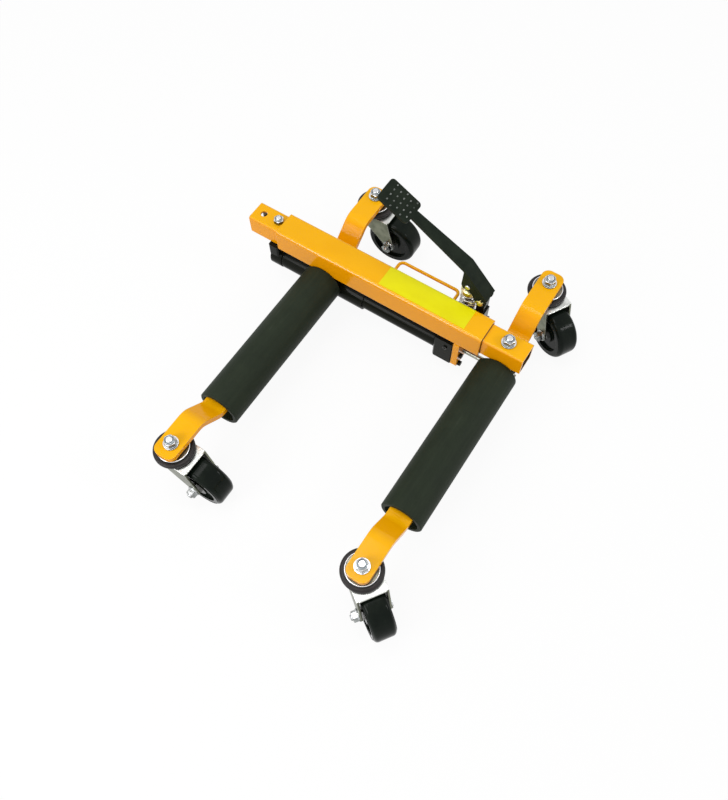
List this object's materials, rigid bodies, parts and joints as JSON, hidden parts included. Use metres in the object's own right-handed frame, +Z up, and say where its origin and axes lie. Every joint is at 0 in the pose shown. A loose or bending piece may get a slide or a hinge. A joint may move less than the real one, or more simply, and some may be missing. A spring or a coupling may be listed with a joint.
{
  "type": "vehicle positioning jack",
  "caption": "Low wheel dolly whose foot-pumped ram draws roller arms together under a tyre to lift a car's wheel onto swivel casters",
  "frame": {"origin": "middle of the footprint's bounding box, on the floor under the caster wheels", "axes": "+X along the telescoping tube towards the sliding end, +Y across towards the pedal side, +Z up"},
  "size_m": [0.6321, 0.7196, 0.32],
  "materials": {
    "yellow_paint": "gloss orange-yellow enamel",
    "black_paint": "satin black enamel",
    "roller_finish": "matt phosphate black",
    "chrome_plate": "bright plated",
    "zinc_plate": "bright zinc plate",
    "yellow_zinc": "yellow passivated zinc",
    "spring_steel": "zinc plated wire",
    "bare_steel": "ground steel",
    "dust_ring": "gloss black moulding",
    "wheel_moulding": "gloss black moulding",
    "seal_rubber": "black seal"
  },
  "bodies": {
    "frame": {"outer_tube": "yellow_paint", "fixed_stub": "yellow_paint", "left_arm": "yellow_paint", "carry_handle": "yellow_paint", "anchor_bolt": "chrome_plate", "ram_bracket": "black_paint", "ram_end_cap": "black_paint", "ram_cylinder": "black_paint", "rod_gland": "bare_steel", "ram_reservoir": "black_paint", "pump_block": "black_paint", "reaction_lug": "yellow_paint", "lug_screws": "black_paint", "pump_barrel": "black_paint", "fulcrum_post": "black_paint", "fulcrum_pin": "yellow_zinc", "return_spring": "spring_steel", "left_stem_bolts": "chrome_plate", "left_top_races": "zinc_plate", "left_dust_rings": "dust_ring"},
    "carriage": {"inner_tube": "yellow_paint", "right_arm": "yellow_paint", "arm_spacer": "yellow_paint", "head_bolt": "chrome_plate", "rod_anchor": "black_paint", "piston_rod": "chrome_plate", "rod_nuts": "chrome_plate", "piston": "bare_steel", "piston_seal": "seal_rubber", "right_stem_bolts": "chrome_plate", "right_top_races": "zinc_plate", "right_dust_rings": "dust_ring"},
    "roller_left": {"left_roller": "roller_finish"},
    "roller_right": {"right_roller": "roller_finish"},
    "pedal": {"pedal_lever": "black_paint", "grip_studs": "black_paint", "lever_cheeks": "black_paint", "plunger_pin": "bare_steel"},
    "plunger": {"pump_plunger": "bare_steel", "spring_cup": "yellow_zinc"},
    "valve": {"release_valve": "bare_steel"},
    "caster_front_left": {"front_left_fork": "zinc_plate", "front_left_axle": "zinc_plate"},
    "rolling_front_left": {"front_left_wheel": "wheel_moulding", "front_left_wheel_bush": "bare_steel"},
    "caster_front_right": {"front_right_fork": "zinc_plate", "front_right_axle": "zinc_plate"},
    "rolling_front_right": {"front_right_wheel": "wheel_moulding", "front_right_wheel_bush": "bare_steel"},
    "caster_rear_left": {"rear_left_fork": "zinc_plate", "rear_left_axle": "zinc_plate"},
    "rolling_rear_left": {"rear_left_wheel": "wheel_moulding", "rear_left_wheel_bush": "bare_steel"},
    "caster_rear_right": {"rear_right_fork": "zinc_plate", "rear_right_axle": "zinc_plate"},
    "rolling_rear_right": {"rear_right_wheel": "wheel_moulding", "rear_right_wheel_bush": "bare_steel"}
  },
  "joints": [
    {"name": "carriage_slide", "type": "slide", "parent": "frame", "child": "carriage", "axis": [1, 0, 0], "range_m": [0, 0.15]},
    {"name": "left_roller_spin", "type": "hinge", "parent": "frame", "child": "roller_left", "pos_m": [-0.14775, -0.02106, 0.08092], "axis": [0, 1, 0], "continuous": true},
    {"name": "right_roller_spin", "type": "hinge", "parent": "carriage", "child": "roller_right", "pos_m": [0.22434, -0.01616, 0.08092], "axis": [0, 1, 0], "continuous": true},
    {"name": "pedal_press", "type": "hinge", "parent": "frame", "child": "pedal", "pos_m": [0.14639, 0.21721, 0.1665], "axis": [0, -1, 0], "range_deg": [0, 24], "stiffness_Nm_per_rad": 5.5, "springref_deg": -20.05},
    {"name": "plunger_stroke", "type": "slide", "parent": "frame", "child": "plunger", "axis": [0, 0, -1], "range_m": [0, 0.01392], "deforming": ["return_spring"]},
    {"name": "valve_turn", "type": "hinge", "parent": "frame", "child": "valve", "pos_m": [0.12, 0.1417, 0.078], "axis": [0, -1, 0], "range_deg": [0, 180]},
    {"name": "front_left_swivel", "type": "hinge", "parent": "frame", "child": "caster_front_left", "pos_m": [-0.14775, -0.2913, 0.1126], "axis": [0, 0, 1], "continuous": true},
    {"name": "front_left_wheel_spin", "type": "hinge", "parent": "caster_front_left", "child": "rolling_front_left", "pos_m": [-0.10076, -0.29162, 0.0508], "axis": [0.007, 1, 0], "continuous": true},
    {"name": "front_right_swivel", "type": "hinge", "parent": "carriage", "child": "caster_front_right", "pos_m": [0.22434, -0.2913, 0.1126], "axis": [0, 0, 1], "continuous": true},
    {"name": "front_right_wheel_spin", "type": "hinge", "parent": "caster_front_right", "child": "rolling_front_right", "pos_m": [0.26317, -0.31778, 0.0508], "axis": [0.5635, 0.8261, 0], "continuous": true},
    {"name": "rear_left_swivel", "type": "hinge", "parent": "frame", "child": "caster_rear_left", "pos_m": [-0.14775, 0.32431, 0.1126], "axis": [0, 0, 1], "continuous": true},
    {"name": "rear_left_wheel_spin", "type": "hinge", "parent": "caster_rear_left", "child": "rolling_rear_left", "pos_m": [-0.10076, 0.32488, 0.0508], "axis": [-0.0122, 0.9999, 0], "continuous": true},
    {"name": "rear_right_swivel", "type": "hinge", "parent": "carriage", "child": "caster_rear_right", "pos_m": [0.22434, 0.32431, 0.1126], "axis": [0, 0, 1], "continuous": true},
    {"name": "rear_right_wheel_spin", "type": "hinge", "parent": "caster_rear_right", "child": "rolling_rear_right", "pos_m": [0.26501, 0.30073, 0.0508], "axis": [0.5015, 0.8652, 0], "continuous": true}
  ],
  "couplings": [
    {"joint": "plunger_stroke", "follows": "pedal_press", "m_per_rad": 0.033}
  ]
}
